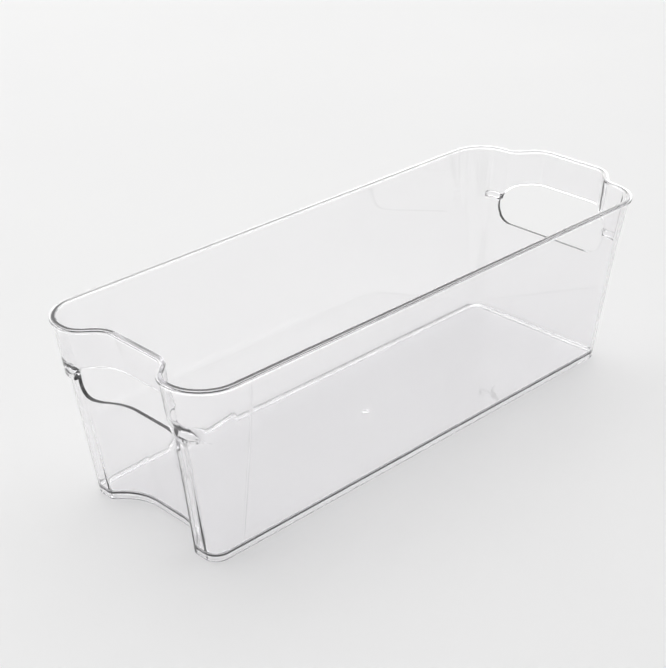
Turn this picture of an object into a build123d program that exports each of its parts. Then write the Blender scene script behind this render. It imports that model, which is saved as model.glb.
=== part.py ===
"""Clear open bin for a fridge shelf: one drafted moulding, divided into its named sections."""
import os
from math import acos, atan2, cos, degrees, hypot, sin

from build123d import *

# Driving dimensions in millimetres. X runs from the front grip to the rear grip, Z is up, and the
# origin is in the middle of the whole part, on the surface that it stands on.
rim_length = 324.0           # front columns to rear columns, over the rim lip
rim_width = 123.0
height = 100.0
base_length = 291.0          # the same columns, at the foot
base_width = 94.4
wall = 2.0
floor_thickness = 3.5
foot_bevel = 1.2
rim_lip = 1.2                # how far the lip stands out from the wall
rim_height = 1.8
rim_edge_radius = 0.7
most_rounding = 0.48         # the share of a height that the rounding on it may take
rim_corner_inner_radius = 19.0
base_corner_inner_radius = 5.8

# The grips: how far the front end is drawn in, how far the rear band stands out, and the finger slots
front_grip_depth_rim = 13.0
front_grip_depth_base = 12.0
rear_grip_depth = 14.4
slot_bottom = 58.0
slot_top = 79.0
slot_half_width = 37.0
slot_corner_radius = 10.0

# S-bends beside the grips, in plan: the radius at each end of the bend and the straight between. A radius
# is that of the tighter skin, so the wall adds to it. The flat that the bend leaves is shared between the
# middle of the grip and the column: the share is the column's.
front_column_radius_rim = 10.8
front_bend_straight_rim = 6.0
front_middle_radius_rim = 12.0
front_column_share_rim = 0.07
front_column_radius_base = 1.0
front_bend_straight_base = 3.3
front_middle_radius_base = 26.0   # and all the way up to the ledge
front_column_share_base = 0.40
rear_column_radius = 8.8
rear_bend_straight = 9.0
rear_middle_radius = 10.8
rear_column_share = 0.035

# The ledge in the corner columns, where the wall above steps outwards
ledge_height = 70.0
ledge_thickness = 4.0
ledge_step = 2.3

# The mark that the moulding gate leaves in the middle of the floor
gate_radius = 2.0
gate_height = 0.4

# Where one section of the moulding ends and the next begins
post_flat = 8.0              # the flat stretch of long wall that belongs to a post
seam_half_width = slot_half_width - slot_corner_radius

wall_top = height - rim_height
centre_x = -rear_grip_depth / 2   # midway between the columns: the rear band makes the part longer
slot_middle = (slot_bottom + slot_top) / 2
far = rim_length             # larger than any half of the part


def between(low, high, z):
    """The size at height z of something that is low at the foot and high at the top of the wall."""
    return low + (high - low) * z / wall_top


class Plan:
    """Sizes of the outer outline at height z. Above the ledge the columns are stepped out."""

    def __init__(self, z, stepped):
        column_foot = base_length / 2
        column_top = rim_length / 2 - rim_lip
        self.z = z
        self.column = between(column_foot, column_top - ledge_step, z)
        if stepped:
            self.column += ledge_step
        self.front_middle = between(column_foot - front_grip_depth_base, column_top - front_grip_depth_rim, z)
        self.rear_swing = rear_grip_depth if stepped else 0
        self.half_width = between(base_width / 2, rim_width / 2 - rim_lip, z)
        self.corner = between(base_corner_inner_radius, rim_corner_inner_radius, z) + wall
        self.column_share = between(front_column_share_base, front_column_share_rim, z)
        self.column_radius = between(front_column_radius_base, front_column_radius_rim, z) + wall
        self.bend_straight = between(front_bend_straight_base, front_bend_straight_rim, z)
        above_ledge = max(z - ledge_height, 0) / (wall_top - ledge_height)
        growth = front_middle_radius_rim - front_middle_radius_base
        self.middle_radius = front_middle_radius_base + growth * above_ledge


class SBend:
    """An arc, a straight and an opposite arc, tangent to each other, that carry a line sideways."""

    def __init__(self, swing, first_radius, straight, second_radius):
        radii = first_radius + second_radius
        lean = atan2(straight, radii)
        turn = acos((radii - swing) / hypot(radii, straight)) - lean
        self.first_radius = first_radius
        self.straight = straight
        self.second_radius = second_radius
        self.angle = degrees(turn)
        self.run = radii * sin(turn) + straight * cos(turn)

    def curves(self, start, heading):
        """The bend from a start point, first to the left of the heading and then back to it."""
        left = JernArc(start, heading, self.first_radius, self.angle)
        straight = Line(left @ 1, left @ 1 + (left % 1) * self.straight)
        right = JernArc(straight @ 1, straight % 1, self.second_radius, -self.angle)
        return [left, straight, right]


def half_outline(plan, inset):
    """The left half of the outline, from the middle of the front to the middle of the rear.

    An inset moves the whole line towards the inside of the bin: round corners get tighter by it and
    hollow ones wider, because their centres stay where they are.
    """
    swing = plan.column - plan.front_middle
    bend = SBend(swing, plan.middle_radius + inset, plan.bend_straight, plan.column_radius - inset)
    front_x = centre_x - plan.column + inset
    rear_x = centre_x + plan.column - inset
    side_y = plan.half_width - inset
    corner = plan.corner - inset
    corner_y = side_y - corner
    bend_y = (corner_y - bend.run) * (1 - plan.column_share)

    middle = Line((front_x + swing, 0), (front_x + swing, bend_y))
    bend_curves = bend.curves(middle @ 1, (0, 1))
    front_column = Line(bend_curves[-1] @ 1, (front_x, corner_y))
    front_corner = JernArc(front_column @ 1, (0, 1), corner, -90)
    side = Line(front_corner @ 1, (rear_x - corner, side_y))
    rear_corner = JernArc(side @ 1, (1, 0), corner, -90)
    front_and_side = [middle, *bend_curves, front_column, front_corner, side, rear_corner]
    return front_and_side + rear_half(plan, inset, rear_corner @ 1)


def rear_half(plan, inset, corner_end):
    """The left half of the rear end: straight, or with the S-bend of the band that stands out."""
    rear_x = corner_end.X
    if plan.rear_swing == 0:
        return [Line(corner_end, (rear_x, 0))]
    middle_radius = rear_middle_radius + wall - inset
    bend = SBend(plan.rear_swing, rear_column_radius + inset, rear_bend_straight, middle_radius)
    column_flat = (corner_end.Y - bend.run) * rear_column_share
    rear_column = Line(corner_end, (rear_x, corner_end.Y - column_flat))
    bend_curves = bend.curves(rear_column @ 1, (0, -1))
    middle = Line(bend_curves[-1] @ 1, (rear_x + plan.rear_swing, 0))
    return [rear_column, *bend_curves, middle]


def outline(plan, inset=0.0):
    """The whole outline as a flat face at the plan's height."""
    half = Curve() + half_outline(plan, inset)
    whole = half + mirror(half, about=Plane.XZ)
    return Pos(0, 0, plan.z) * make_face(whole.edges())


def stack(low, high, low_inset, high_inset):
    """A drafted block between two outlines."""
    return loft([outline(low, low_inset), outline(high, high_inset)], ruled=True)


def region(x_range, y_range, z_range):
    """A box that picks out one section of the moulding."""
    low = (x_range[0], y_range[0], z_range[0])
    high = (x_range[1], y_range[1], z_range[1])
    size = [high[i] - low[i] for i in range(3)]
    middle = [(high[i] + low[i]) / 2 for i in range(3)]
    return Pos(*middle) * Box(*size)


def floor_plate():
    """The floor: a plate with a bevelled foot, and the gate mark in its middle."""
    plate = stack(Plan(0, False), Plan(floor_thickness, False), foot_bevel, 0)
    mark = Pos(centre_x, 0, floor_thickness) * Cylinder(gate_radius, gate_height, align=(
        Align.CENTER, Align.CENTER, Align.MIN))
    return plate + mark


def drafted_block(inset, ledge_z):
    """The walls' solid from the floor to the rim, with the columns stepped out above the ledge."""
    below = stack(Plan(floor_thickness, False), Plan(ledge_z, False), inset, inset)
    above = stack(Plan(ledge_z, True), Plan(wall_top, True), inset, inset)
    return below + above


def slot_cutter():
    """A rounded bar along X that opens the finger slots in both ends."""
    across = Plane(origin=(0, 0, slot_middle), x_dir=(0, 1, 0), z_dir=(1, 0, 0))
    slot_height = slot_top - slot_bottom
    round_end = min(slot_corner_radius, slot_height * most_rounding)
    face = RectangleRounded(2 * slot_half_width, slot_height, round_end)
    return extrude(across * face, amount=far, both=True)


def wall_shell():
    """All the walls in one: outside less inside, with the finger slots open."""
    outside = drafted_block(0, ledge_height)
    inside = drafted_block(wall, ledge_height + ledge_thickness)
    return outside - inside - slot_cutter()


def rim_ring():
    """The rim lip: a flat ring on top of the walls, rounded along its edges."""
    plan = Plan(wall_top, True)
    face = outline(plan, -rim_lip) - outline(plan, wall)
    ring = extrude(face, amount=rim_height)
    round_over = min(rim_edge_radius, rim_height * most_rounding)
    top_edges = ring.edges().group_by(Axis.Z)[-1]
    return fillet(top_edges, round_over)


def side_by_side(solid, names):
    """Cut a ring of wall into its two long runs, its four corners and its two end runs."""
    clear_of_foot_corner = base_length / 2 - wall - base_corner_inner_radius - post_flat
    clear_of_rim_corner = rim_length / 2 - rim_lip - wall - rim_corner_inner_radius - post_flat
    seam = min(clear_of_foot_corner, clear_of_rim_corner)
    front = (-far, centre_x - seam)
    middle = (centre_x - seam, centre_x + seam)
    rear = (centre_x + seam, far)
    left = (seam_half_width, far)
    right = (-far, -seam_half_width)
    across = (-seam_half_width, seam_half_width)
    cuts = [(middle, left), (middle, right), (front, left), (front, right), (rear, left), (rear, right),
            (front, across), (rear, across)]
    return {name: solid & region(x, y, (0, height)) for name, (x, y) in zip(names, cuts)}


def end_run(shell, name, x_range):
    """Cut one end of the walls into the panel below its finger slot and the grip band above it."""
    across = (-seam_half_width, seam_half_width)
    return {
        name + "_end_panel": shell & region(x_range, across, (0, slot_middle)),
        name + "_grip_band": shell & region(x_range, across, (slot_middle, height)),
    }


def sections():
    """Every named section of the moulding."""
    shell = wall_shell()
    corners = [end + side for end in ("front", "rear") for side in ("_left", "_right")]
    wall_names = ["left_side_wall", "right_side_wall"] + [corner + "_post" for corner in corners]
    rim_names = ["left_rim", "right_rim"] + [corner + "_rim_corner" for corner in corners]
    rim_names += ["front_rim", "rear_rim"]
    return {
        "floor_panel": floor_plate(),
        **side_by_side(shell, wall_names),
        **end_run(shell, "front", (-far, 0)),
        **end_run(shell, "rear", (0, far)),
        **side_by_side(rim_ring(), rim_names),
    }


os.makedirs("parts", exist_ok=True)
for node, solid in sections().items():
    export_step(Part() + solid.solids(), f"parts/{node}.step")
    print(node, len(solid.solids()), round(solid.volume))
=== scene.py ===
# %% [markdown]
# # A clear bin for a fridge shelf
#
# The real object is one injection moulding in clear, polished plastic: a floor, four leaning walls, a
# thick rim lip, and a finger slot in each end. The solid model divides it into named sections that meet
# face to face. Seen through clear plastic, each of those meeting faces would show as a pane of glass
# inside the wall, so the looks need a single closed skin that stands for all the sections at once.

# %% Load the solid model as a fixed frame
import math
from types import SimpleNamespace

import bpy
import numpy as np
from mathutils import Matrix, Vector


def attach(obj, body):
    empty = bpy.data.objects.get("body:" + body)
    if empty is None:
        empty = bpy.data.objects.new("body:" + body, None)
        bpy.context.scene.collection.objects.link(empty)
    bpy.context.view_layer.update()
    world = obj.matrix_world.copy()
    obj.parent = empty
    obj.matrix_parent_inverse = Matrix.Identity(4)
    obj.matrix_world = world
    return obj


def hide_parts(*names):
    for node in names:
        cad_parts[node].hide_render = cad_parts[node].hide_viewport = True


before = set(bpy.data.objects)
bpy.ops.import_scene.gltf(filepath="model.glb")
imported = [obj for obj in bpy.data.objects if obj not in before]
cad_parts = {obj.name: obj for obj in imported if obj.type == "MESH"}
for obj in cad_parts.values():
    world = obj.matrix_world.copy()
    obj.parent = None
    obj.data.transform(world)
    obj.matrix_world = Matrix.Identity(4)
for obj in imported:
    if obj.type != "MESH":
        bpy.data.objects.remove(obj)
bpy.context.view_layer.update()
print("sections of the solid model:", len(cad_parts))

# %% [markdown]
# ## The sizes
#
# The skin has the sizes that the solid model has, written here in millimetres. They could be measured on
# the model's meshes, but a radius or a lean is hard to measure and easy to state.

# %% Sizes of the moulding, in millimetres
MM = 0.001

rim_length = 324.0
rim_width = 123.0
height = 100.0
base_length = 291.0
base_width = 94.4
wall = 2.0
floor_top = 3.5
rim_lip = 1.2
wall_top = 98.2
rim_corner_radius = 21.0
base_corner_radius = 7.8

rear_grip_depth = 14.4
centre_x = -rear_grip_depth / 2
print("overall length over the lip:", rim_length + rear_grip_depth)

# %% [markdown]
# ## Walls that lean
#
# A moulded wall leans outwards, or it would not leave its mould. Every size of the outline, such as its
# width or the radius of its corners, grows in a straight line from the foot to the rim. A wall could be
# stretched between two drawn outlines, but its ledge and its grips need more than two. Sizes that are
# functions of the height give an outline wherever one is wanted.

# %% Sizes that grow with the height
def between(low, high, z):
    """A size that grows in a straight line: low at the foot, high at the top of the wall."""
    return low + (high - low) * z / wall_top


def smooth(t):
    """An S-shaped step: 0 before t = 0, 1 after t = 1, and t squared times (3 - 2t) between."""
    t = np.clip(t, 0.0, 1.0)
    return t * t * (3.0 - 2.0 * t)


half_way_up = between(base_corner_radius, rim_corner_radius, wall_top / 2)
print("corner radius half way up:", round(half_way_up, 3))

# %% [markdown]
# ## The ledge in the columns
#
# In the corner columns the wall steps outwards at seven tenths of the height, which makes a small ledge: a
# flat with a hollow on one side of it and a round edge on the other. It could be a plain slope, but the
# hollow and the edge each draw a fine line of light, and a slope draws none.

# %% The step of a ledge
ledge_step = 2.3
ledge_hollow = 0.3
ledge_flat = 0.06
ledge_edge = 0.45
outer_ledge = 70.0
inner_ledge = 73.6

curve_rows = 6
row_below_ledge = 0.5
row_above_ledge = 0.7
rows_on_flat = np.array([0.1, 0.9])


def quarter(count=curve_rows):
    """Angles of a quarter circle, both ends included."""
    return np.linspace(0.0, math.pi / 2, count)


def ledge_out(t):
    """How far the wall has stepped out at a height t above a ledge.

    A quarter circle turns from upright to level, a flat that is all but level goes outwards, and a second
    quarter circle turns to upright again. A circle of radius r that has climbed t is r minus the root of
    (r squared - t squared) away from its start.
    """
    turning = np.clip(t + ledge_hollow, 0.0, ledge_hollow)
    level = np.clip(t / ledge_flat, 0.0, 1.0)
    to_climb = ledge_edge - np.clip(t - ledge_flat, 0.0, ledge_edge)
    hollow = ledge_hollow - np.sqrt(ledge_hollow ** 2 - turning ** 2)
    edge = np.sqrt(ledge_edge ** 2 - to_climb ** 2)
    return hollow + level * (ledge_step - ledge_hollow - ledge_edge) + edge


def ledge_heights(ledge):
    """Heights of rows that follow a ledge closely: even steps of angle on its two quarter circles."""
    angle = quarter()
    hollow = ledge_hollow * (np.sin(angle) - 1.0)
    edge = ledge_flat + ledge_edge * (1.0 - np.cos(angle))
    flat = ledge_flat * rows_on_flat
    return ledge + np.concatenate([[-row_below_ledge], hollow, flat, edge, [row_above_ledge]])


print("the ledge steps out by", ledge_out(row_above_ledge), "in", len(ledge_heights(outer_ledge)), "rows")

# %% [markdown]
# ## The plan
#
# With these, one function of the height gives all the sizes of the outline. A ledge could be a piece added
# to a plain wall, but then its edges would be seams. Inside the front columns the step is a long soft slope
# instead of a ledge, which no line of light betrays.

# %% The plan at a height
FRONT = -1
REAR = 1

soft_ledge = 70.5
soft_rise = 9.0
front_depth_rim = 13.0
front_depth_base = 12.0


def above_ledge(z):
    """How far a height is from the ledge to the top of the wall: 0 up to the ledge, 1 at the top."""
    return np.clip((z - outer_ledge) / (wall_top - outer_ledge), 0.0, 1.0)


def plan(z, ledge, end=REAR):
    """The outline's sizes at height z, for a skin whose ledge begins at the given height.

    Every size is a straight line from foot to rim. The column's also has the ledge's step. The plain one,
    which the long sides have, gains as much in a second straight line, from the ledge to the top.
    """
    z = np.clip(z, 0.0, wall_top)
    foot = base_length / 2
    top = rim_length / 2 - rim_lip
    lean = between(foot, top - ledge_step, z)
    soft = ledge_step * smooth((z - soft_ledge) / soft_rise)
    inside_front = (ledge == inner_ledge) & (end == FRONT)
    sizes = SimpleNamespace()
    sizes.plain = lean + ledge_step * above_ledge(z)
    sizes.column = lean + np.where(inside_front, soft, ledge_out(z - ledge))
    sizes.front_middle = between(foot - front_depth_base, top - front_depth_rim, z)
    sizes.half_width = between(base_width / 2, rim_width / 2 - rim_lip, z)
    sizes.corner = between(base_corner_radius, rim_corner_radius, z)
    sizes.corner_y = sizes.half_width - sizes.corner
    return sizes


for where, level in (("foot", 0.0), ("rim", wall_top)):
    print("half width of the wall at the", where, plan(level, outer_ledge).half_width)

# %% [markdown]
# ## The bends beside the grips
#
# Seen from above, each end wall swings sideways between its corner columns and its middle: the front is
# drawn in, and the band at the rear stands out. A designer draws such a swing as an arc, a short straight
# and an opposite arc. It could be a spline, but arcs keep a true radius, and clear plastic shows every
# uneven curve as a crooked streak of light.

# %% Depth of an S-bend
sharpest = 0.05


def bend_depth(y, corner_y, swing, first, straight, second, share):
    """How far the wall has swung at a distance y from the middle.

    From the column inwards: a flat, which is a share of what the bend leaves, then an arc of the first
    radius, a straight, an arc of the second radius, and the flat middle. An arc of radius r is r minus
    the root of (r squared - d squared) deep at a distance d from its start.
    """
    first = np.maximum(first, sharpest)
    radii = first + second
    reach = np.hypot(radii, straight)
    turn = np.arccos(np.clip((radii - swing) / reach, -1.0, 1.0)) - np.arctan2(straight, radii)
    run = radii * np.sin(turn) + straight * np.cos(turn)
    begin = corner_y - share * (corner_y - run)
    gone = np.clip(begin - np.abs(y), 0.0, run)

    on_first = np.minimum(gone, first * np.sin(turn))
    on_straight = np.clip(gone - first * np.sin(turn), 0.0, straight * np.cos(turn))
    to_go = np.minimum(run - gone, second * np.sin(turn))
    first_arc = first - np.sqrt(first ** 2 - on_first ** 2)
    second_arc = np.sqrt(second ** 2 - to_go ** 2) - second * np.cos(turn)
    return first_arc + on_straight * np.tan(turn) + second_arc


trial_bend = {"corner_y": 39.0, "swing": 13.0, "first": 11.0, "straight": 9.0, "second": 9.0, "share": 0.0}
trial_depth = bend_depth(np.array([trial_bend["corner_y"], 0.0]), **trial_bend)
print("a trial bend, in its column and in its middle:", np.round(trial_depth, 3))

# %% [markdown]
# ## The end walls
#
# An end wall is a height field: for each place across and each height, one distance along the bin. Two
# skins of it are wanted, the outer and the inner one. A Solidify modifier could make the second from the
# first, but here the inner skin has a ledge of its own. So it is worked out as the outer moved in by the
# wall's thickness. When a line is moved in, its round corners get tighter and its hollow ones wider.

# %% The front and the rear as height fields
front_bend_rim = SimpleNamespace(column=12.8, straight=6.0, middle=12.0, share=0.07)
front_bend_base = SimpleNamespace(column=3.0, straight=3.3, middle=26.0, share=0.40)
rear_bend = SimpleNamespace(column=8.8, straight=9.0, middle=12.8, share=0.035)
band_start = 61.0
band_rise = 8.0


def front_depth(y, z, inset, sizes):
    """The front's S-bend at a height.

    Its sizes go in straight lines from foot to rim, but the radius of its hollow changes only above the
    ledge.
    """
    z = np.clip(z, 0.0, wall_top)
    foot, rim = front_bend_base, front_bend_rim
    swing = sizes.column - sizes.front_middle
    first = between(foot.column, rim.column, z) - inset
    straight = between(foot.straight, rim.straight, z)
    second = foot.middle + (rim.middle - foot.middle) * above_ledge(z) + inset
    share = between(foot.share, rim.share, z)
    return bend_depth(y, sizes.corner_y, swing, first, straight, second, share)


def rear_depth(y, z, inset, sizes):
    """The rear's S-bend: none below the slot, all of it above, growing where the slot is open."""
    swing = rear_grip_depth * smooth((z - band_start) / band_rise)
    first = rear_bend.column + inset
    second = rear_bend.middle - inset
    return bend_depth(y, sizes.corner_y, swing, first, rear_bend.straight, second, rear_bend.share)


def end_x(y, z, inset, ledge, end):
    """Where the end wall is along the bin, a distance inset inside its outer skin."""
    sizes = plan(z, ledge, end)
    if end == FRONT:
        return centre_x - sizes.column + inset + front_depth(y, z, inset, sizes)
    return centre_x + sizes.column - inset + rear_depth(y, z, inset, sizes)


for where, end in (("front", FRONT), ("rear", REAR)):
    middle_x = end_x(0.0, wall_top, -rim_lip, outer_ledge, end)
    print("middle of the", where, "at the rim:", round(float(middle_x), 3))

# %% [markdown]
# ## Once round the outline
#
# The grid of the skin has columns that go round the bin and rows that climb it. Going round, the first
# parameter runs along the front, a corner, a side, a corner, the rear and back. In a corner it is an
# angle. The columns could be spaced evenly, but flats need few of them and the fading ledges many.

# %% Columns of the grid
end_count = 112
across = np.linspace(1.0, -1.0, end_count + 1)

before_fade = np.linspace(0.0, 21.0, 5)
in_fade = np.linspace(24.0, 30.0, 13)
after_fade = np.linspace(34.0, 90.0, 12)
turned = np.radians(np.concatenate([before_fade, in_fade, after_fade]))
corner_count = len(turned) - 1

groove_place = 0.033
groove_width = 0.0018
beside_groove = groove_place + groove_width * np.linspace(-2.5, 2.5, 17)
near_corner = [0.0, 0.003, 0.012]
to_middle = [0.06, 0.1, 0.2, 0.3, 0.4]
from_front = np.concatenate([near_corner, beside_groove, to_middle, [0.5]])
from_rear = np.concatenate([near_corner, [0.03], to_middle])
along = np.concatenate([from_front, 1.0 - from_rear[::-1]])

column_count = 2 * end_count + 4 * corner_count + 2 * (len(along) - 1)
rear_first = end_count + 2 * corner_count + len(along) - 1
print("columns round the bin:", column_count)

# %% [markdown]
# ## Corners and sides
#
# The ledge belongs to the end wall, so it fades out part of the way round each corner, and leaves the
# crescent and the faint upright crease that such a bin shows there. The plastic is a little thinner round
# the corners, because the mould's two halves don't quite share a centre there, and the change of thickness
# shows as upright bands of light. One long side has a shallow upright groove near the front. All of this
# could be painted on with a bump, but only a real change of thickness bends what is seen through the wall.

# %% A corner and a long side
fade_start = {FRONT: math.radians(24), REAR: math.radians(25)}
outer_fade = {FRONT: math.radians(21), REAR: math.radians(5)}
inner_fade = {FRONT: math.radians(21), REAR: math.radians(2)}
corner_thinner = 0.22
column_blend = math.radians(14)
side_blend = math.radians(60)
thin_below_rim = 8.0
groove_side = -1
groove_depth = 0.2


def corner_points(angle, rows, end, side):
    """A quarter circle: its centre, plus the radius times the cosine and the sine of the angle.

    Angle 0 is beside the column and a right angle beside the long side. The ledge's step and the thinner
    wall come and go smoothly with the angle.
    """
    sizes = plan(rows.z, rows.ledge, end)
    fade_width = np.where(rows.ledge == inner_ledge, inner_fade[end], outer_fade[end])
    stepped = 1.0 - smooth((angle - fade_start[end]) / fade_width)
    column = sizes.plain + stepped * (sizes.column - sizes.plain)
    inside = np.clip(rows.inset / wall, 0.0, 1.0) * smooth((wall_top - rows.z) / thin_below_rim)
    thinner = corner_thinner * smooth(angle / column_blend) * smooth((math.pi / 2 - angle) / side_blend)
    radius = sizes.corner - rows.inset + inside * thinner
    x = centre_x + end * (column - sizes.corner + radius * np.cos(angle))
    y = side * (sizes.corner_y + radius * np.sin(angle))
    return x, y


def side_points(place, rows, side):
    """A straight run from the front corner (place 0) to the rear one (place 1).

    One side has a groove, a bell: its depth times e to the minus square of the distance in widths.
    """
    sizes = plan(rows.z, rows.ledge)
    half = sizes.plain - sizes.corner
    groove = (side == groove_side) * groove_depth * np.exp(-((place - groove_place) / groove_width) ** 2)
    x = centre_x + half * (2.0 * place - 1.0)
    y = side * (sizes.half_width - rows.inset - rows.groove * groove)
    return x, y


rim_line = SimpleNamespace(z=np.array([[wall_top]]), inset=-rim_lip, ledge=outer_ledge, groove=0.0)
print("the rim's right side is at y =", side_points(along, rim_line, groove_side)[1].max())

# %% All the runs of an outline
def end_points(place, rows, end):
    """The end wall's height field, at places from 1 (left) to -1 (right)."""
    y = place * plan(rows.z, rows.ledge).corner_y
    return end_x(y, rows.z, rows.inset, rows.ledge, end), y


def once_round(rows):
    """All the columns of all the rows, anticlockwise from the left end of the front."""
    runs = [
        end_points(across[:-1], rows, FRONT),
        corner_points(turned[:-1], rows, FRONT, -1),
        side_points(along[:-1], rows, -1),
        corner_points(turned[:0:-1], rows, REAR, -1),
        end_points(-across[:-1], rows, REAR),
        corner_points(turned[:-1], rows, REAR, 1),
        side_points(along[:0:-1], rows, 1),
        corner_points(turned[:0:-1], rows, FRONT, 1),
    ]
    row_total = len(rows.z)
    x = [np.broadcast_to(run_x, (row_total, run_x.shape[1])) for run_x, run_y in runs]
    y = [np.broadcast_to(run_y, (row_total, run_y.shape[1])) for run_x, run_y in runs]
    return np.hstack(x), np.hstack(y)


rim_x, rim_y = once_round(rim_line)
print("the rim's outline:", rim_x.size, "points,", np.ptp(rim_x), "by", np.ptp(rim_y), "mm")

# %% [markdown]
# ## The profile, from the underside over the rim to the floor
#
# The rows follow one line: out along the underside, round the foot, up the outer skin, over the rim lip,
# down the inner skin, round the floor's fillet and in to the middle. Each row is a height and an inset.
# The edges could be rounded by a Bevel modifier, but it would round them all alike. Where a flat wall meets
# a small round there are two rows close together: smooth shading spreads a bend over the whole face beside
# it, and a close row keeps the flat wall flat, so that it refracts cleanly.

# %% Rows of the walls
hold = 0.25           # from a round to the close row beside it
floor_round = 1.8
patch_low = 46.0      # the rectangle of cells that is left open for a slot, from this height
patch_high = 92.0     # to this one

low_wall = [7.6, 10.0, 16.0, 24.0, 32.0, 40.0, 44.5]
lower_slot = np.linspace(patch_low, 66.0, 16)
under_ledge = np.linspace(67.0, 69.0, 4)
between_ledges = [71.3, 72.0, 72.6]
over_ledge = [75.0]
upper_slot = np.linspace(76.0, patch_high, 12)
under_rim = [94.0, 96.4, 97.4]


def line_of_rows(z, inset, ledge=outer_ledge, draw=0.0, groove=0.0):
    """A stretch of the profile as an array with one line per row: height, inset, ledge, draw, groove."""
    return np.stack(np.broadcast_arrays(np.asarray(z, float), inset, ledge, draw, groove), axis=1)


def wall_heights():
    """Heights up a wall: sparse on the flats, close where a ledge steps, and the same for both skins."""
    over_fillet = [floor_top + floor_round + hold]
    up_to_ledges = [over_fillet, low_wall, lower_slot, under_ledge]
    at_ledges = [ledge_heights(outer_ledge), between_ledges, ledge_heights(inner_ledge), over_ledge]
    return np.concatenate([*up_to_ledges, *at_ledges, upper_slot, under_rim])


heights = wall_heights()
print("rows up each skin of the wall:", len(heights))

# %% [markdown]
# ### The foot
#
# The bin stands on a narrow ring, and inside the ring its underside is a little higher, because a wide flat
# underside would rock. It could be left flat, since it hardly shows. But looking down through the ring, one
# sees what the bin stands on between two fine dark lines.

# %% Rows of the underside
foot_round = 0.45
ring_width = 2.2
recess = 2.6
underside_draw = np.array([2.0, 1.5, 1.0, 0.8, 0.6, 0.4, 0.2, 0.04, 0.006])
low_outside = [2.0, 4.0]


def underside_rows():
    """The recess below the floor, then the foot ring: its inner side, its flat and its round edges.

    A quarter circle of radius r goes r times (1 - cosine) one way and r times (1 - sine) the other.
    """
    r = foot_round
    away = r * (1.0 - np.cos(quarter()))
    along_it = r * (1.0 - np.sin(quarter()))
    parts = [
        line_of_rows(recess, ring_width + r, draw=underside_draw),
        line_of_rows(recess - away, ring_width + along_it),
        line_of_rows([recess - r - hold, r + hold], ring_width),
        line_of_rows(along_it, ring_width - away),
        line_of_rows(0.0, np.array([ring_width - r - hold, r + hold])),
        line_of_rows(away, along_it),
        line_of_rows([r + hold, *low_outside], 0.0),
    ]
    return np.concatenate(parts)


underside = underside_rows()
print("rows of the underside:", len(underside), "lowest", underside[:, 0].min())

# %% [markdown]
# ### The rim lip
#
# The lip's section is more than a rectangle: a hollow below it, a low shoulder outside and a small step up
# to a flat top. It could be a plain round tube, but each of these edges draws its own dark line, and the
# rim of such a bin is seen as a bundle of them.

# %% Rows of the rim lip
lip_hollow = 0.3
lip_edge = 0.25
step_height = 0.6
step_place = -0.1
step_crease = 0.12
inner_edge = 0.5
top_rows = 4


def lip_rows():
    """The rim lip: a hollow below it, a lower shoulder outside, a small step, and a raised flat above.

    A quarter circle of radius r goes r times (1 - cosine) one way and r times (1 - sine) the other.
    """
    away = 1.0 - np.cos(quarter())
    along_it = 1.0 - np.sin(quarter())
    shoulder = height - step_height
    on_shoulder = np.array([-rim_lip + lip_edge + hold / 2, step_place - step_crease - hold / 2])
    on_top = np.linspace(step_place + step_crease + hold, wall - inner_edge - hold, top_rows)
    parts = [
        line_of_rows(wall_top - lip_hollow * along_it, -lip_hollow * away),
        line_of_rows(wall_top + lip_edge * away, -rim_lip + lip_edge * along_it),
        line_of_rows(shoulder - lip_edge * along_it, -rim_lip + lip_edge * away),
        line_of_rows(shoulder, on_shoulder),
        line_of_rows(shoulder + step_crease * away, step_place - step_crease * along_it),
        line_of_rows(height - step_crease * along_it, step_place + step_crease * away),
        line_of_rows(height, on_top),
        line_of_rows(height - inner_edge * away, wall - inner_edge * along_it),
        line_of_rows([height - inner_edge - hold], wall),
    ]
    return np.concatenate(parts)


lip = lip_rows()
print("rows of the rim lip:", len(lip), "highest", lip[:, 0].max())

# %% [markdown]
# ### The floor and its gate mark
#
# Where the melt came in, the mould leaves a small round mark in the middle of the floor: a low ring with a
# dip inside it. It could be a separate disc, but then it would be a second body inside clear plastic. Here
# the rows of the floor simply go on into it.

# %% Rows of the floor
fillet_rows = 9
floor_draw = np.array([0.006, 0.04, 0.2, 0.4, 0.6, 0.8, 0.95, 0.99, 1.0])
gate_draw = np.linspace(1.05, 2.0, 12)
gate_height = 0.4
ring_start = 1.0
ring_rise = 0.25
dip_start = 1.4
dip_fall = 0.3
dip_share = 0.7


def floor_rows():
    """The fillet, then the flat floor, then the gate mark.

    The fillet is a quarter circle, and the mark a smooth rise less a smooth dip in its middle.
    """
    angle = quarter(fillet_rows)
    fillet_z = floor_top + floor_round * (1.0 - np.sin(angle))
    fillet_inset = wall + floor_round * (1.0 - np.cos(angle))
    ring = smooth((gate_draw - ring_start) / ring_rise)
    dip = dip_share * smooth((gate_draw - dip_start) / dip_fall)
    gate_z = floor_top + gate_height * (ring * (1.0 - dip))
    parts = [
        line_of_rows(fillet_z, fillet_inset, ledge=inner_ledge),
        line_of_rows(floor_top, wall + floor_round, draw=floor_draw),
        line_of_rows(gate_z, wall + floor_round, draw=gate_draw),
    ]
    return np.concatenate(parts)


inner_floor = floor_rows()
print("rows of the floor:", len(inner_floor), "top of the mark", inner_floor[fillet_rows:, 0].max())

# %% The whole profile
groove_foot = 6.0
groove_foot_fade = 4.0
groove_top = 97.0
groove_top_fade = 2.0

fade_in = smooth((heights - groove_foot) / groove_foot_fade)
fade_out = smooth((groove_top - heights) / groove_top_fade)
outer = line_of_rows(heights, 0.0, groove=fade_in * fade_out)
inner = line_of_rows(heights[::-1], wall, ledge=inner_ledge)
profile = np.concatenate([underside, outer, lip, inner, inner_floor])

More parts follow.
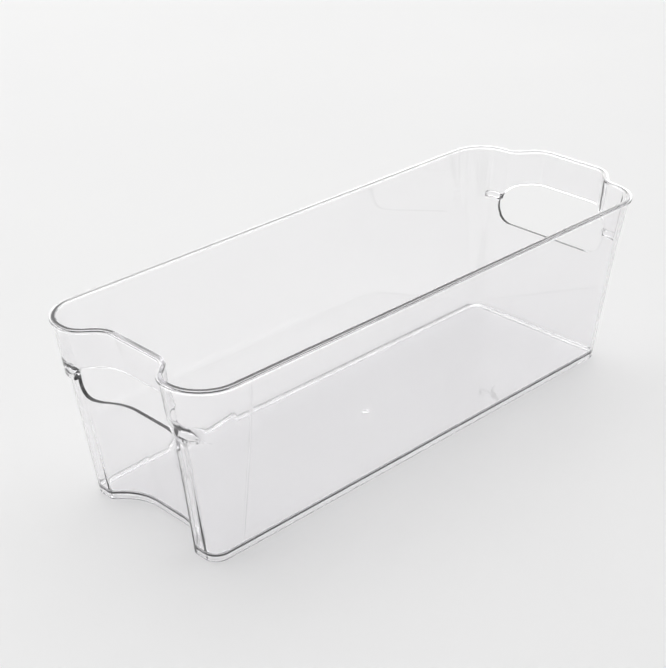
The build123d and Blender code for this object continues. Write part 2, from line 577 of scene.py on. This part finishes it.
rows = SimpleNamespace()
rows.z, rows.inset, rows.ledge, rows.draw, rows.groove = [profile[:, i:i + 1] for i in range(5)]
row_count = len(profile)
first_outer = len(underside)
last_inner = first_outer + len(outer) + len(lip) + len(inner) - 1
print("rows from the underside to the floor:", row_count)

# %% [markdown]
# ## The grid of points
#
# On the underside and the floor the outline is drawn in towards a small circle, the edge of the gate mark,
# and then to a point. Each flat could be one large face instead, but smooth shading would then bend all of
# it. Drawn in, both flats close by themselves with no seam and no hole.

# %% Points of the skin
gate_radius = 2.0


def grid_points():
    """Rows times columns: the outline, drawn in to the gate's circle (draw 1) and its middle (draw 2).

    A drawn point is its share of the way to the circle, where it keeps its angle about the middle.
    """
    x, y = once_round(rows)
    angle = np.arctan2(y, x - centre_x)
    shrink = gate_radius * (2.0 - np.maximum(rows.draw, 1.0))
    drawn = np.minimum(rows.draw, 1.0)
    x = (1.0 - drawn) * x + drawn * (centre_x + shrink * np.cos(angle))
    y = (1.0 - drawn) * y + drawn * (shrink * np.sin(angle))
    z = np.broadcast_to(rows.z, x.shape)
    return np.stack([x, y, z], axis=2)


points = grid_points()
index = np.arange(row_count * column_count).reshape(row_count, column_count)
print("grid:", points.shape, "lowest", points.min(axis=(0, 1)), "highest", points.max(axis=(0, 1)))

# %% [markdown]
# ## The finger slots
#
# A slot could be cut with a Boolean, but that leaves long thin triangles, and on clear plastic they show
# as scratches. Instead a rectangle of cells is left out of both skins at each end, and one strip is laid
# through the hole: from the outer rectangle in to the slot's edge, round that edge, across the wall's
# thickness and back out to the inner rectangle. Each line of the strip goes to the nearest point of the
# slot, which is a rounded rectangle: a smaller rectangle grown by the radius of its corners.

# %% Lines towards a slot
slot_bottom = 58.0
slot_top = 79.0
slot_half_width = 37.0
slot_corner_radius = 10.0


def border(row_numbers, first):
    """The grid's points once round a rectangle of cells: along the bottom, up, back and down."""
    columns = (first + np.arange(end_count + 1)) % column_count
    bottom = index[row_numbers[0], columns[:-1]]
    up = index[row_numbers[:-1], columns[-1]]
    back = index[row_numbers[-1], columns[:0:-1]]
    down = index[row_numbers[:0:-1], columns[0]]
    return np.concatenate([bottom, up, back, down])


def slot_lines(start):
    """For points (y, z) on the border: the nearest point of the slot's core, and the way towards them."""
    half = slot_half_width - slot_corner_radius
    low = np.array([-half, slot_bottom + slot_corner_radius])
    high = np.array([half, slot_top - slot_corner_radius])
    core = np.clip(start, low, high)
    way = start - core
    return core, way / np.linalg.norm(way, axis=1, keepdims=True)


print("slot:", 2.0 * slot_half_width, "wide,", slot_top - slot_bottom, "high")

# %% A strip through the wall
edge_round = 0.3
outer_grip_round = {FRONT: 0.3, REAR: 0.55}
inner_grip_round = {FRONT: 0.3, REAR: 1.25}
edge_hold = 0.1
slot_rings = np.array([0.25, 0.5, 0.7, 0.85, 0.94, 0.98, 1.0])


def half_strip(start, grip_round):
    """From the border in to the slot on one skin: rings, then a quarter circle that sinks into the wall.

    The circle's radius goes smoothly from the plain one below the slot to the grip's above it.
    """
    core, way = slot_lines(start)
    upwards = 0.5 + way[:, 1:]
    rounding = edge_round + (grip_round - edge_round) * smooth(upwards)
    edge = core + way * (slot_corner_radius + rounding)
    rings = start + slot_rings[:, None, None] * (edge - start)
    angle = quarter()[1:, None, None]
    round_edge = core + way * (slot_corner_radius + rounding * (1.0 - np.sin(angle)))
    sunk = (rounding * (1.0 - np.cos(angle)))[:, :, 0]
    lines = np.concatenate([rings, round_edge, round_edge[-1:]])
    depth = np.concatenate([np.zeros(rings.shape[:2]), sunk, sunk[-1:] + edge_hold])
    return lines, depth / wall


def strip_points(start, end):
    """The strip's inner lines, as lines times points: in on the outer skin, through, out on the inner.

    A point at a share of the wall's depth is that share of the way from the outer skin to the inner.
    """
    outer_lines, outer_depth = half_strip(start, outer_grip_round[end])
    inner_lines, inner_depth = half_strip(start, inner_grip_round[end])
    flat = np.concatenate([outer_lines, inner_lines[::-1]])
    deep = np.concatenate([outer_depth, 1.0 - inner_depth[::-1]])
    y, z = flat[:, :, 0], flat[:, :, 1]
    outer_x = end_x(y, z, 0.0, outer_ledge, end)
    inner_x = end_x(y, z, wall, inner_ledge, end)
    return np.stack([(1.0 - deep) * outer_x + deep * inner_x, y, z], axis=2)


print("lines of a strip:", 2 * (len(slot_rings) + curve_rows))

# %% Lay a strip at each end
tolerance = 0.01
patch = np.flatnonzero((heights >= patch_low - tolerance) & (heights <= patch_high + tolerance))
outer_numbers = first_outer + patch
inner_numbers = last_inner - patch
all_points = [points.reshape(-1, 3)]
strips = []
for end, first in ((FRONT, 0), (REAR, rear_first)):
    outside = border(outer_numbers, first)
    inside = border(inner_numbers, first)
    lines = strip_points(all_points[0][outside][:, 1:], end)
    begin = sum(len(part) for part in all_points)
    between_borders = begin + np.arange(lines.shape[0] * lines.shape[1]).reshape(lines.shape[:2])
    strips.append(np.vstack([outside, between_borders, inside]))
    all_points.append(lines.reshape(-1, 3))
print("strips:", [strip.shape for strip in strips])

# %% [markdown]
# ## One closed skin
#
# The faces are rows of index numbers, so they are worked out as arrays too. They could be added one by one
# in a loop, which is far slower. The first and last rows of the grid are single points, where the faces are
# triangles. The points inside the two open rectangles belong to no face and are dropped.

# %% Faces
def quads(net):
    """The four corners of each cell of a net whose columns close on themselves, facing outwards."""
    right = np.roll(net, -1, axis=1)
    return np.stack([net[:-1], right[:-1], right[1:], net[1:]], axis=2)


def skin_faces():
    """Every face of the skin: the grid without the open rectangles, the strips, and a fan at each pole."""
    cells = quads(index[1:-1])
    kept = np.ones(cells.shape[:2], bool)
    for numbers in (np.sort(outer_numbers), np.sort(inner_numbers)):
        for first in (0, rear_first):
            kept[numbers[0] - 1:numbers[-1] - 1, first:first + end_count] = False
    under, over = index[1], index[-2]
    pole_low = np.full(column_count, index[0, 0])
    pole_high = np.full(column_count, index[-1, 0])
    low_fan = np.stack([pole_low, np.roll(under, -1), under], axis=1)
    high_fan = np.stack([over, np.roll(over, -1), pole_high], axis=1)
    four = np.concatenate([cells[kept]] + [quads(strip).reshape(-1, 4) for strip in strips])
    return four, np.concatenate([low_fan, high_fan])


print("faces with four corners and with three:", [len(faces) for faces in skin_faces()])

# %% The mesh
def clear_skin(name):
    """The moulding as one closed mesh, in metres, with only the points that its faces use."""
    four, three = skin_faces()
    used, numbers = np.unique(np.concatenate([four.ravel(), three.ravel()]), return_inverse=True)
    places = np.concatenate(all_points)[used] * MM
    four = numbers[:four.size].reshape(-1, 4)
    three = numbers[-three.size:].reshape(-1, 3)
    mesh = bpy.data.meshes.new(name)
    mesh.from_pydata(places.tolist(), [], four.tolist() + three.tolist())
    mesh.polygons.foreach_set("use_smooth", np.ones(len(mesh.polygons), bool))
    mesh.update()
    return mesh


moulding = bpy.data.objects.new("clear_moulding", clear_skin("clear_moulding"))
bpy.context.scene.collection.objects.link(moulding)
triangles = sum(len(face.vertices) - 2 for face in moulding.data.polygons)
print("clear_moulding triangles:", triangles)

# %% Put it on the solid model's body
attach(moulding, "root")
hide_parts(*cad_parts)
print("clear_moulding stands for", len(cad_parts), "sections")

# %% [markdown]
# ## Shader sums as Python expressions
#
# A material is a graph of nodes. Written node by node it is hard to read, so a small class wraps a socket:
# a sum or a product of two of them adds a Math node, and one method adds any other node.

# %% A socket that can be reckoned with
class Socket:
    """An output socket of a material's graph."""

    def __init__(self, graph, socket):
        self.graph = graph
        self.socket = socket

    def reckon(self, operation, other):
        """A Math node of this socket and another socket or number."""
        return self.graph.add("ShaderNodeMath", {"operation": operation}, {0: self, 1: other})

    def __add__(self, other):
        return self.reckon("ADD", other)

    def __mul__(self, other):
        return self.reckon("MULTIPLY", other)

    __radd__ = __add__
    __rmul__ = __mul__


class Graph:
    """The node graph of a material or of the world."""

    def __init__(self, tree):
        self.tree = tree
        self.tree.nodes.clear()

    def add(self, kind, settings=None, inputs=None, output=0):
        """A node of any type: its settings first, then its sockets' values or links."""
        node = self.tree.nodes.new(kind)
        for name, value in (settings or {}).items():
            setattr(node, name, value)
        for name, value in (inputs or {}).items():
            if isinstance(value, Socket):
                self.tree.links.new(value.socket, node.inputs[name])
            else:
                node.inputs[name].default_value = value
        return Socket(self, node.outputs[output]) if node.outputs else None


print("a socket can be added and multiplied")

# %% A material's graph, and a mix of two colours
# A Mix node has sockets for numbers, for vectors and for colours. These are the colours', by number.
MIX_COLOR_A = 6
MIX_COLOR_B = 7
MIX_COLOR_OUT = 2


def new_material(name):
    """A material with an empty graph."""
    material = bpy.data.materials.new(name)
    material.use_nodes = True
    return material, Graph(material.node_tree)


def color_mix(graph, factor, first, second):
    """A colour that goes from the first to the second as the factor goes from 0 to 1."""
    colors = {"Factor": factor, MIX_COLOR_A: first, MIX_COLOR_B: second}
    return graph.add("ShaderNodeMix", {"data_type": "RGBA"}, colors, MIX_COLOR_OUT)


print("colour sockets of a mix:", MIX_COLOR_A, MIX_COLOR_B, MIX_COLOR_OUT)

# %% [markdown]
# ## Clear polished plastic
#
# The plastic is polystyrene or something like it: as clear as glass, a little heavier in its refraction,
# with a breath of lavender in thick places. It isn't perfect. The melt flowed from the gate in the middle
# of the floor, which leaves very slow ripples in the walls, and handling leaves a faint haze. The ripples
# are a bump, and the haze is a change in roughness and a small share of light that doesn't pass. A Glass
# shader would do for the clear part, but it can't scatter that share. A shadow ray passes straight through
# instead of being bent, because bent light on a floor would need far more samples than a plain render has.

# %% The plastic
ripple_pattern = {"Scale": 14.0, "Detail": 1.0, "Roughness": 0.4}
ripple_bump = {"Strength": 0.06, "Distance": 0.002}
haze_pattern = {"Scale": 45.0, "Detail": 4.0, "Roughness": 0.6}
clear_tint = (0.997, 0.996, 0.997, 1.0)
hazy_tint = (0.980, 0.976, 0.983, 1.0)
polish = 0.006
haze_roughness = 0.03
plastic_body = {"IOR": 1.57, "Transmission Weight": 0.98}
shadow_tint = (0.93, 0.93, 0.933, 1.0)
lavender_depth = {"Color": (0.80, 0.77, 0.86, 1.0), "Density": 14.0}


def clear_plastic():
    """Clear, rippled and a little hazy, with a plain transparent surface for shadow rays."""
    material, graph = new_material("clear_plastic")
    place = graph.add("ShaderNodeTexCoord", output="Object")
    solid = {"noise_dimensions": "3D"}
    ripple = graph.add("ShaderNodeTexNoise", solid, {"Vector": place, **ripple_pattern})
    haze = graph.add("ShaderNodeTexNoise", solid, {"Vector": place, **haze_pattern})
    tint = color_mix(graph, haze, clear_tint, hazy_tint)
    normal = graph.add("ShaderNodeBump", None, {"Height": ripple, **ripple_bump})
    finish = {"Base Color": tint, "Roughness": polish + haze_roughness * haze, "Normal": normal}
    plastic = graph.add("ShaderNodeBsdfPrincipled", None, {**finish, **plastic_body})
    clear = graph.add("ShaderNodeBsdfTransparent", None, {"Color": shadow_tint})
    shadow = graph.add("ShaderNodeLightPath", output="Is Shadow Ray")
    surface = graph.add("ShaderNodeMixShader", None, {0: shadow, 1: plastic, 2: clear})
    depth = graph.add("ShaderNodeVolumeAbsorption", None, lavender_depth)
    graph.add("ShaderNodeOutputMaterial", None, {"Surface": surface, "Volume": depth})
    return material


moulding.data.materials.append(clear_plastic())
print("plastic nodes:", len(moulding.data.materials[0].node_tree.nodes))

# %% [markdown]
# ## The floor
#
# A plain pale floor, a hair below the bin, so that the bin's underside and the floor never share a plane.
# It could be a square, but a disc reaches equally far on every side. It is matt, because a shine would
# mirror the bright room and drown the bin's pale shadow.

# %% Floor
floor_reach = 6.0
floor_gap = 0.15 * MM
floor_sides = 96
floor_darker = (0.81, 0.81, 0.81, 1.0)
floor_lighter = (0.84, 0.838, 0.835, 1.0)
floor_pattern = {"Scale": 4.0, "Detail": 3.0}
floor_finish = {"Roughness": 0.6, "Specular IOR Level": 0.1}


def floor_disc():
    """A disc of one face: the reach times the cosine and the sine of even steps of angle."""
    angle = np.linspace(0.0, 2.0 * math.pi, floor_sides + 1)[:-1]
    x = floor_reach * np.cos(angle)
    y = floor_reach * np.sin(angle)
    edge = np.stack([x, y, np.full(floor_sides, -floor_gap)], axis=1)
    mesh = bpy.data.meshes.new("floor")
    mesh.from_pydata(edge.tolist(), [], [list(range(floor_sides))])
    return mesh


def pale_floor():
    """A matt pale grey that is a little uneven."""
    material, graph = new_material("pale_floor")
    place = graph.add("ShaderNodeTexCoord", output="Object")
    cloud = graph.add("ShaderNodeTexNoise", None, {"Vector": place, **floor_pattern})
    pale = color_mix(graph, cloud, floor_darker, floor_lighter)
    finish = graph.add("ShaderNodeBsdfPrincipled", None, {"Base Color": pale, **floor_finish})
    graph.add("ShaderNodeOutputMaterial", None, {"Surface": finish})
    return material


floor = bpy.data.objects.new("floor", floor_disc())
floor.data.materials.append(pale_floor())
bpy.context.scene.collection.objects.link(floor)
print("floor reach in metres:", floor_reach)

# %% [markdown]
# ## The light
#
# Clear plastic has no colour of its own: it shows the room, bent. A room that is white all over makes it
# vanish. A photographer gives it an edge with something dim out of the picture. So this room is dim on the
# camera's side and bright behind the bin, with a low window at the back that is brighter still. The walls
# stay pale because they look straight through, while the tight bends of the rim and the slots look sideways
# into the dim half. The room could be built from panels and lamps, but a ramp of brightness has no edges
# that the plastic would mirror.

# %% A room with a bright side and a dim side
to_bright_side = (0.5, 0.75, 0.15)
room_turn = 0.6
dim_side = 0.3
bright_side = 1.2
window_light = 3.5
window_side = (0.68, 0.84)
window_foot = (0.02, 0.06)
window_head = (0.42, 0.36)
room_white = (1.0, 1.0, 1.0, 1.0)


def soft_room():
    """The room is a smooth ramp of brightness, and its window the product of three ramps from 0 to 1."""
    world = bpy.data.worlds.new("soft_room")
    world.use_nodes = True
    graph = Graph(world.node_tree)

    def ramp(value, start, stop, low=0.0, high=1.0):
        """A smooth step from low, where the value is start, to high, where it is stop."""
        ends = {"Value": value, "From Min": start, "From Max": stop, "To Min": low, "To Max": high}
        return graph.add("ShaderNodeMapRange", {"interpolation_type": "SMOOTHSTEP"}, ends)

    toward = graph.add("ShaderNodeTexCoord", output="Generated")
    across_room = graph.add("ShaderNodeVectorMath", {"operation": "DOT_PRODUCT"},
                            {0: toward, 1: to_bright_side}, output="Value")
    level = graph.add("ShaderNodeSeparateXYZ", None, {0: toward}, output="Z")
    room = ramp(across_room, -room_turn, room_turn, dim_side, bright_side)
    window = ramp(across_room, *window_side) * ramp(level, *window_foot) * ramp(level, *window_head)
    light = {"Color": room_white, "Strength": room + window_light * window}
    back = graph.add("ShaderNodeBackground", None, light)
    graph.add("ShaderNodeOutputWorld", None, {"Surface": back})
    return world


bpy.context.scene.world = soft_room()
print("room nodes:", len(bpy.context.scene.world.node_tree.nodes))

# %% [markdown]
# ## A lamp for the shadow
#
# The room alone lights the floor from all round and leaves hardly a shadow. One large lamp, high over the
# front and the left, gives the bin a faint one. It could be a sun lamp, but then the shadow would have a
# hard edge.

# %% A soft lamp
lamp_place = Vector((-2.2, 1.6, 3.2))
lamp_target = Vector((0.0, 0.0, 0.0))
lamp_size = 2.4
lamp_power = 22.0


def soft_box(name):
    """A square lamp at its place, turned to face its target."""
    lamp = bpy.data.lights.new(name, "AREA")
    lamp.size = lamp_size
    lamp.energy = lamp_power
    box = bpy.data.objects.new(name, lamp)
    box.location = lamp_place
    box.rotation_euler = (lamp_target - lamp_place).to_track_quat("-Z", "Y").to_euler()
    return box


bpy.context.scene.collection.objects.link(soft_box("high_window"))

# %% [markdown]
# ## The camera
#
# The camera stands where the photographer stood: in front of the near corner, looking down at a little
# under thirty degrees, with a lens long enough that the far end is not much smaller than the near one. It
# could be aimed with a Track To constraint, but a matrix also holds the slight roll of a hand-held picture.

# %% Camera
look_at = Vector((-0.0185, 0.0114, 0.0502))
azimuth = math.radians(-44.08)
elevation = math.radians(27.5)
roll = math.radians(-0.7)
distance = 0.8
focal_length = 81.75

lens = bpy.data.cameras.new("camera")
lens.lens = focal_length
camera = bpy.data.objects.new("camera", lens)
level_reach = math.cos(elevation)
back = Vector((math.sin(azimuth) * level_reach, -math.cos(azimuth) * level_reach, math.sin(elevation)))
turn = Matrix.Rotation(azimuth, 4, "Z") @ Matrix.Rotation(math.pi / 2 - elevation, 4, "X")
stand = Matrix.Translation(look_at + distance * back)
camera.matrix_world = stand @ turn @ Matrix.Rotation(roll, 4, "Z")
bpy.context.scene.collection.objects.link(camera)
bpy.context.scene.camera = camera
print("camera at", tuple(round(v, 3) for v in camera.matrix_world.translation))

# %% [markdown]
# ## How far light is followed
#
# Inside clear plastic a ray can bounce from face to face very many times. It has to pass through many
# walls, one behind the other, so it may go through 32 faces. Followed through as many mirror bounces, it
# would bring light into every edge. Stopped after 3, it leaves the rim, the slots and the foot their dark
# lines.

# %% Bounces
most_bounces = 32
mirror_bounces = 3

bpy.context.scene.view_settings.view_transform = "Standard"
bpy.context.scene.cycles.max_bounces = most_bounces
bpy.context.scene.cycles.transmission_bounces = most_bounces
bpy.context.scene.cycles.glossy_bounces = mirror_bounces
print("bounces through faces and between them:", most_bounces, mirror_bounces)
